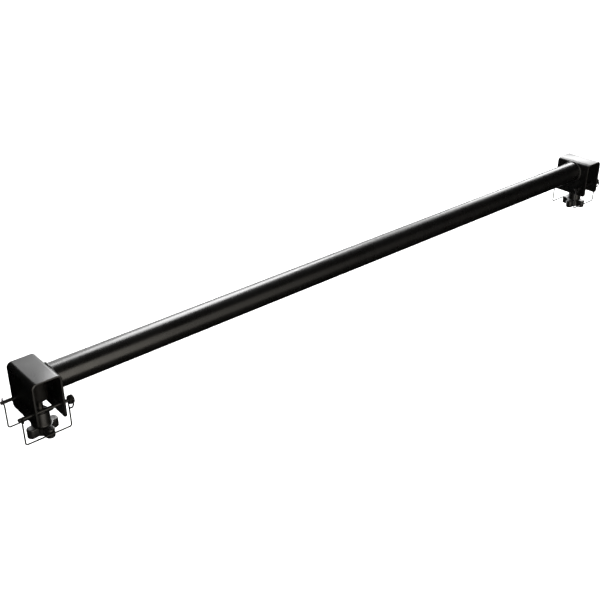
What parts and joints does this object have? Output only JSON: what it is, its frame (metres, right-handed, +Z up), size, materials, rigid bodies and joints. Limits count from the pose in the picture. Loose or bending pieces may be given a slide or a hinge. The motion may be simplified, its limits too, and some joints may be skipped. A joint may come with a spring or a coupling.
{
  "type": "spreader beam",
  "caption": "Round-tube spreader beam with an inverted-U clamp saddle at each end, wire-lock pins through the cheeks and a cross-grip hand screw under each saddle.",
  "frame": {"origin": "on the tube's axis at mid-length, where the sling goes", "axes": "+X along the tube towards the right saddle, +Y to the rear, +Z up, with the saddles open downwards"},
  "size_m": [2.02, 0.113, 0.156],
  "materials": {
    "tube_coat": "gloss black powder coat",
    "saddle_coat": "semi-gloss black powder coat",
    "pin_black": "black oxide, lightly oiled",
    "wire_black": "black spring wire",
    "knob_black": "satin black enamel on a casting",
    "screw_steel": "blackened machined steel",
    "washer_zinc": "dark zinc"
  },
  "bodies": {
    "frame": {"main_tube": "tube_coat", "tube_weld_left": "tube_coat", "tube_weld_right": "tube_coat", "saddle_left": "saddle_coat", "saddle_right": "saddle_coat", "screw_boss_left": "saddle_coat", "screw_boss_right": "saddle_coat", "boss_weld_left": "saddle_coat", "boss_weld_right": "saddle_coat"},
    "pin_left_front": {"lock_pin_left_front": "pin_black"},
    "bail_left_front": {"wire_bail_left_front": "wire_black"},
    "pin_left_rear": {"lock_pin_left_rear": "pin_black"},
    "bail_left_rear": {"wire_bail_left_rear": "wire_black"},
    "washer_left": {"thrust_washer_left": "washer_zinc"},
    "screw_left": {"screw_spindle_left": "screw_steel", "retaining_ring_left": "screw_steel", "cross_knob_left": "knob_black", "roll_pin_left": "screw_steel"},
    "pin_right_front": {"lock_pin_right_front": "pin_black"},
    "bail_right_front": {"wire_bail_right_front": "wire_black"},
    "pin_right_rear": {"lock_pin_right_rear": "pin_black"},
    "bail_right_rear": {"wire_bail_right_rear": "wire_black"},
    "washer_right": {"thrust_washer_right": "washer_zinc"},
    "screw_right": {"screw_spindle_right": "screw_steel", "retaining_ring_right": "screw_steel", "cross_knob_right": "knob_black", "roll_pin_right": "screw_steel"}
  },
  "joints": [
    {"name": "pin_left_front_pull", "type": "slide", "parent": "frame", "child": "pin_left_front", "axis": [1, 0, 0], "range_m": [0, 0.105]},
    {"name": "bail_left_front_swing", "type": "hinge", "parent": "pin_left_front", "child": "bail_left_front", "pos_m": [-0.8945, -0.04, -0.0435], "axis": [0, -1, 0], "range_deg": [0, 150]},
    {"name": "pin_left_rear_pull", "type": "slide", "parent": "frame", "child": "pin_left_rear", "axis": [1, 0, 0], "range_m": [0, 0.105]},
    {"name": "bail_left_rear_swing", "type": "hinge", "parent": "pin_left_rear", "child": "bail_left_rear", "pos_m": [-0.8945, 0.04, -0.0435], "axis": [0, -1, 0], "range_deg": [0, 150]},
    {"name": "washer_left_travel", "type": "slide", "parent": "frame", "child": "washer_left", "axis": [0, 0, 1], "range_m": [-0.0201, 0.0101]},
    {"name": "screw_left_turn", "type": "hinge", "parent": "washer_left", "child": "screw_left", "pos_m": [-0.9485, 0, 0], "axis": [0, 0, 1], "range_deg": [-3600, 1800]},
    {"name": "pin_right_front_pull", "type": "slide", "parent": "frame", "child": "pin_right_front", "axis": [1, 0, 0], "range_m": [0, 0.105]},
    {"name": "bail_right_front_swing", "type": "hinge", "parent": "pin_right_front", "child": "bail_right_front", "pos_m": [1.0025, -0.04, -0.0435], "axis": [0, -1, 0], "range_deg": [0, 150]},
    {"name": "pin_right_rear_pull", "type": "slide", "parent": "frame", "child": "pin_right_rear", "axis": [1, 0, 0], "range_m": [0, 0.105]},
    {"name": "bail_right_rear_swing", "type": "hinge", "parent": "pin_right_rear", "child": "bail_right_rear", "pos_m": [1.0025, 0.04, -0.0435], "axis": [0, -1, 0], "range_deg": [0, 150]},
    {"name": "washer_right_travel", "type": "slide", "parent": "frame", "child": "washer_right", "axis": [0, 0, 1], "range_m": [-0.0201, 0.0101]},
    {"name": "screw_right_turn", "type": "hinge", "parent": "washer_right", "child": "screw_right", "pos_m": [0.9485, 0, 0], "axis": [0, 0, 1], "range_deg": [-3600, 1800]}
  ],
  "couplings": [
    {"joint": "bail_left_front_swing", "follows": "pin_left_front_pull", "rad_per_m": 24.933},
    {"joint": "bail_left_rear_swing", "follows": "pin_left_rear_pull", "rad_per_m": 24.933},
    {"joint": "washer_left_travel", "follows": "screw_left_turn", "m_per_rad": 0.00031831},
    {"joint": "bail_right_front_swing", "follows": "pin_right_front_pull", "rad_per_m": 24.933},
    {"joint": "bail_right_rear_swing", "follows": "pin_right_rear_pull", "rad_per_m": 24.933},
    {"joint": "washer_right_travel", "follows": "screw_right_turn", "m_per_rad": 0.00031831}
  ]
}
